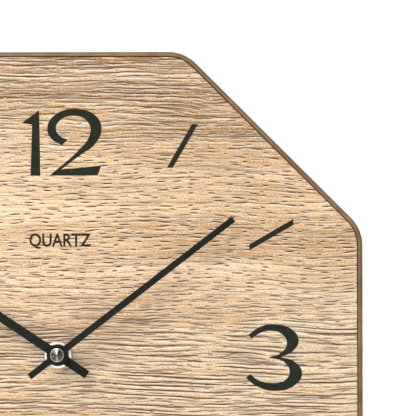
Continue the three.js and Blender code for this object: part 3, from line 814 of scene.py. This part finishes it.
def hub_parts():
    front, back = (y - HUB.y for y in span("hand_cap", 1))
    radius = (span("hand_cap", 0)[1] - span("hand_cap", 0)[0]) / 2
    round_r = 0.3 * MM
    profile = [(0, front), (0.25 * MM, front + 0.02 * MM), (2.35 * MM, front + 1.0 * MM),
               (2.5 * MM, front + 1.12 * MM), (2.65 * MM, front + 1.0 * MM)]
    profile += arc((radius - round_r, front + 1.0 * MM + round_r), round_r, -90, 0, 4)
    profile += [(radius, back), (0, back)]
    finish_mesh("hand_cap_turned", lathe(profile, Vector(), 96), CAP, "minute", ["hand_cap"], HUB)

    front, back = span("neck_nut", 1)
    radius = (span("neck_nut", 0)[1] - span("neck_nut", 0)[0]) / 2
    inner = 4.1 * MM
    profile = [(inner, back), (inner, front + 0.35 * MM), (inner + 0.35 * MM, front),
               (radius - 0.6 * MM, front), (radius - 0.12 * MM, front + 0.48 * MM),
               (radius, front + 0.68 * MM), (radius, back)]
    slots = []
    for side in (-1, 1):
        slot = box_mesh((side * 7.3 * MM - 1.7 * MM, front - 1 * MM, -0.7 * MM),
                        (side * 7.3 * MM + 1.7 * MM, front + 1 * MM, 0.7 * MM))
        lean = Matrix.Rotation(math.radians(-NUT_SLOTS), 3, "Y")
        bmesh.ops.rotate(slot, cent=(0, 0, 0), matrix=lean, verts=slot.verts)
        bmesh.ops.translate(slot, vec=(HUB.x, 0, HUB.z), verts=slot.verts)
        slots.append(slot)
    nut = carved(ring_lathe(profile, HUB, 96), cutters=slots)
    finish_mesh("neck_nut_turned", nut, NICKEL, "case", ["neck_nut"])

    front, back = span("neck_washer", 1)
    radius = (span("neck_washer", 0)[1] - span("neck_washer", 0)[0]) / 2
    edge = 0.12 * MM
    profile = [(inner, back), (inner, front), (radius - edge, front), (radius, front + edge),
               (radius, back - edge), (radius - edge, back)]
    finish_mesh("neck_washer_flat", ring_lathe(profile, HUB, 96), ZINC, "case", ["neck_washer"])


hands()
hub_parts()

# ---------------------------------------------------------------- back and feet


def rounded_square(half, corner, steps=8):
    points = []
    for quarter, (sx, sz) in enumerate(((1, 1), (-1, 1), (-1, -1), (1, -1))):
        for i in range(steps + 1):
            a = math.pi / 2 * (quarter + i / steps)
            points.append((HUB.x + sx * (half - corner) + corner * math.cos(a),
                           HUB.z + sz * (half - corner) + corner * math.sin(a)))
    return points


def screw_axes():
    for i in range(1, 9):
        low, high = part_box(f"panel_screw_{i}")
        yield i, (low + high) / 2


def back_panel():
    front, back = span("back_panel", 1)
    corner = CORNER - (BODY_HALF - PANEL_HALF)
    edge = 0.3 * MM
    profile = [(0, front), (0, back - edge), (edge, back)]
    rings = [octagon(PANEL_HALF - inset, corner - inset, y) for inset, y in profile]
    opening = slab(rounded_square(46 * MM, 9 * MM), front - 1 * MM, back + 1 * MM)
    holes = [lathe([(0, front - 1 * MM), (1.8 * MM, front - 1 * MM), (1.8 * MM, back + 1 * MM),
                    (0, back + 1 * MM)], centre, 24) for _, centre in screw_axes()]
    panel = carved(skin(rings, closed=False, caps=True), cutters=[opening] + holes)
    finish_mesh("back_board", panel, BOARD, "case", ["back_panel"])


def screws():
    """Pan head screws with a cross recess, one mesh shared by all eight."""
    low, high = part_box("panel_screw_1")
    tip, top = low.y, high.y
    head = top - 1.75 * MM
    middle = Vector((0, 0, 0))
    dome = [(3 * MM * math.cos(a), head + 0.45 * MM + 1.3 * MM * math.sin(a))
            for a in (math.radians(t) for t in (0, 15, 30, 45, 60, 75))]
    profile = [(0, tip), (0.4 * MM, tip + 0.9 * MM), (1.45 * MM, tip + 2.6 * MM), (1.45 * MM, head),
               (3 * MM, head)] + dome + [(0, top)]
    shape = lathe(profile, middle, 40)
    recess = [box_mesh((-1.75 * MM, head + 0.7 * MM, -0.32 * MM), (1.75 * MM, top + 1 * MM, 0.32 * MM)),
              box_mesh((-0.32 * MM, head + 0.7 * MM, -1.75 * MM), (0.32 * MM, top + 1 * MM, 1.75 * MM))]
    shape = carved(shape, cutters=recess)
    first = None
    for i, centre in screw_axes():
        name, node = f"back_screw_{i}", f"panel_screw_{i}"
        at = Vector((centre.x, 0, centre.z))
        if first is None:
            first = finish_mesh(name, shape, ZINC, "case", [node], at)
            continue
        copy = bpy.data.objects.new(name, first.data)
        bpy.context.scene.collection.objects.link(copy)
        copy.location = at
        copy.rotation_euler = (0, 0.7 * i, 0)
        settle(copy, "case", [node])


def foot_pads():
    for i in range(1, 5):
        low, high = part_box(f"foot_pad_{i}")
        middle = (low + high) / 2
        radius, thick = (high.x - low.x) / 2, high.z - low.z
        steps = 48
        edge = 0.25 * MM
        profile = [(radius - 0.5 * MM - edge, low.z), (radius - 0.5 * MM, low.z + edge * 0.6),
                   (radius - 0.1 * MM, high.z - edge), (radius - 0.25 * MM, high.z)]
        rings = [[(middle.x + r * math.cos(2 * math.pi * k / steps),
                   middle.y + r * math.sin(2 * math.pi * k / steps), z) for k in range(steps)]
                 for r, z in profile]
        finish_mesh(f"felt_pad_{i}", skin(rings, closed=False, caps=True), RUBBER, "case",
                    [f"foot_pad_{i}"])


def cell_piece(name, bm, material, stands_for=()):
    """Lays a piece turned about Y along X, into the battery's place."""
    low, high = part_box("battery")
    bmesh.ops.rotate(bm, cent=(0, 0, 0), matrix=Matrix.Rotation(math.radians(-90), 3, "Z"), verts=bm.verts)
    bmesh.ops.translate(bm, vec=(low + high) / 2, verts=bm.verts)
    finish_mesh(name, bm, material, "cell", stands_for)


def battery():
    """The AA cell: a steel can with its nub, in a printed sleeve that wraps round both ends."""
    low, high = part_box("battery")
    half, radius = (high.x - low.x) / 2, (high.z - low.z) / 2
    shoulder, turn = half - 1.5 * MM, 0.6 * MM
    lip, core = radius - 1.5 * MM, radius - 0.3 * MM
    can = [(0, -half), (4.6 * MM, -half), (4.8 * MM, 0.15 * MM - half), (core, 0.2 * MM - half),
           (core, shoulder - 0.2 * MM), (3.5 * MM, shoulder - 0.15 * MM), (3.1 * MM, shoulder),
           (2.75 * MM, shoulder + 0.1 * MM), (2.6 * MM, half - 0.25 * MM), (2.35 * MM, half), (0, half)]
    sleeve = [(lip, 0.4 * MM - half), (lip, 0.05 * MM - half)]
    sleeve += arc((radius - turn, turn + 0.05 * MM - half), turn, -90, 0, 5)
    sleeve += arc((radius - turn, shoulder - turn), turn, 0, 90, 5)
    sleeve += [(lip, shoulder), (lip, shoulder - 0.35 * MM), (core - 0.1 * MM, shoulder - 0.5 * MM),
               (core - 0.1 * MM, 0.5 * MM - half)]
    origin = Vector()
    cell_piece("battery_can", lathe(can, origin, 96), ZINC, ["battery"])
    cell_piece("battery_sleeve", ring_lathe(sleeve, origin, 96), SLEEVE)


back_panel()
screws()
foot_pads()
battery()

# ---------------------------------------------------------------- finishes on carried-over nodes

CAD_FINISH = {
    BLACK: ("movement_front_shell", "movement_rear_cover", "chip_cover"),
    WHITE: ("train_bridge", "hour_wheel", "motion_wheel", "third_wheel", "seconds_wheel",
            "intermediate_wheel", "setting_knob", "coil_bobbin"),
    BRASS: ("centre_wheel",),
    IRON: ("rotor", "stator", "coil_core"),
    WIRE: ("coil_winding",),
    GREEN: ("circuit_board",),
    ZINC: ("crystal_can", "positive_contact", "negative_contact"),
    SLEEVE: ("battery",),
    RUBBER: ("neck_gasket",),
}
for finish, names in CAD_FINISH.items():
    for node_name in names:
        mesh = frame["nodes"][node_name].data
        mesh.materials.clear()
        mesh.materials.append(finish)



def ease_edges(node, width):
    """Rounds the sharp edges of a carried-over node without touching its own points."""
    item = frame["nodes"][node]
    weld = item.modifiers.new("weld", "WELD")
    weld.merge_threshold = 0.001 * MM
    bevel = item.modifiers.new("ease", "BEVEL")
    bevel.width = width
    bevel.segments = 2
    bevel.limit_method = "ANGLE"
    bevel.angle_limit = math.radians(40)


ease_edges("movement_front_shell", 0.3 * MM)
ease_edges("movement_rear_cover", 0.3 * MM)
ease_edges("setting_knob", 0.12 * MM)

# ---------------------------------------------------------------- floor, light and camera


def floor():
    """A pale floor that curves up into a backdrop far behind the clock."""
    width, near, far, bend, rise = 4.0, -3.0, 2.2, 1.0, 3.0
    line = [(near, 0.0), (far - bend, 0.0)]
    line += [(far - bend + bend * math.sin(a), bend - bend * math.cos(a))
             for a in (math.radians(90 * i / 16) for i in range(1, 17))]
    line.append((far, rise))
    bm = bmesh.new()
    edges = [[bm.verts.new((x, y, z)) for y, z in line] for x in (-width, width)]
    for a, b, c, d in zip(edges[0], edges[1], edges[1][1:], edges[0][1:]):
        bm.faces.new((a, b, c, d))
    m = Nodes("pale_floor", Specular_IOR_Level=0.1, Roughness=0.9)
    cloud = m.noise(m.scaled(m.coords, (1.5, 1.5, 1.5)), detail=1)
    m.colour(m.mix(cloud, (0.86, 0.86, 0.86, 1), (0.9, 0.9, 0.9, 1)))
    sheet = finish_mesh("floor", bm, m.material, None)


def area_light(name, place, target, size, watts):
    data = bpy.data.lights.new(name, "AREA")
    data.size = size
    data.energy = watts
    lamp = bpy.data.objects.new(name, data)
    bpy.context.scene.collection.objects.link(lamp)
    lamp.location = place
    lamp.rotation_euler = (target - Vector(place)).to_track_quat("-Z", "Y").to_euler()


def light():
    area_light("key", (-2.2, -2.2, 3.3), HUB, 3.6, 240)
    area_light("front_panel", (-0.1, -3.2, 0.3), HUB, 1.7, 11)
    area_light("fill", (2.0, -1.9, 0.9), HUB, 1.6, 3)
    area_light("back_fill", (0.8, 1.7, 1.2), HUB, 1.4, 22)
    world = bpy.data.worlds.new("studio")
    world.use_nodes = True
    tree = world.node_tree
    shown = tree.nodes["Background"]
    shown.inputs["Color"].default_value = (1, 1, 1, 1)
    lit = tree.nodes.new("ShaderNodeBackground")
    lit.inputs["Strength"].default_value = 0.24
    path = tree.nodes.new("ShaderNodeLightPath")
    both = tree.nodes.new("ShaderNodeMixShader")
    tree.links.new(path.outputs["Is Camera Ray"], both.inputs[0])
    tree.links.new(lit.outputs[0], both.inputs[1])
    tree.links.new(shown.outputs[0], both.inputs[2])
    tree.links.new(both.outputs[0], tree.nodes["World Output"].inputs["Surface"])
    bpy.context.scene.world = world


def camera():
    """Close on the upper right of the dial, a little from the right and from below."""
    azimuth, elevation, distance = math.radians(1.43), math.radians(-2.22), 1.4
    aim = Vector((HUB.x + 68.9 * MM, DIAL_Y, HUB.z + 67.65 * MM))
    away = Vector((math.sin(azimuth) * math.cos(elevation), -math.cos(azimuth) * math.cos(elevation),
                   math.sin(elevation)))
    data = bpy.data.cameras.new("camera")
    data.lens = 263.2
    data.sensor_width = 36
    data.clip_start = 0.05
    view = bpy.data.objects.new("camera", data)
    bpy.context.scene.collection.objects.link(view)
    view.location = aim + away * distance
    view.rotation_euler = (-away).to_track_quat("-Z", "Y").to_euler()
    bpy.context.scene.camera = view


floor()
light()
camera()
bpy.context.scene.view_settings.view_transform = "Standard"
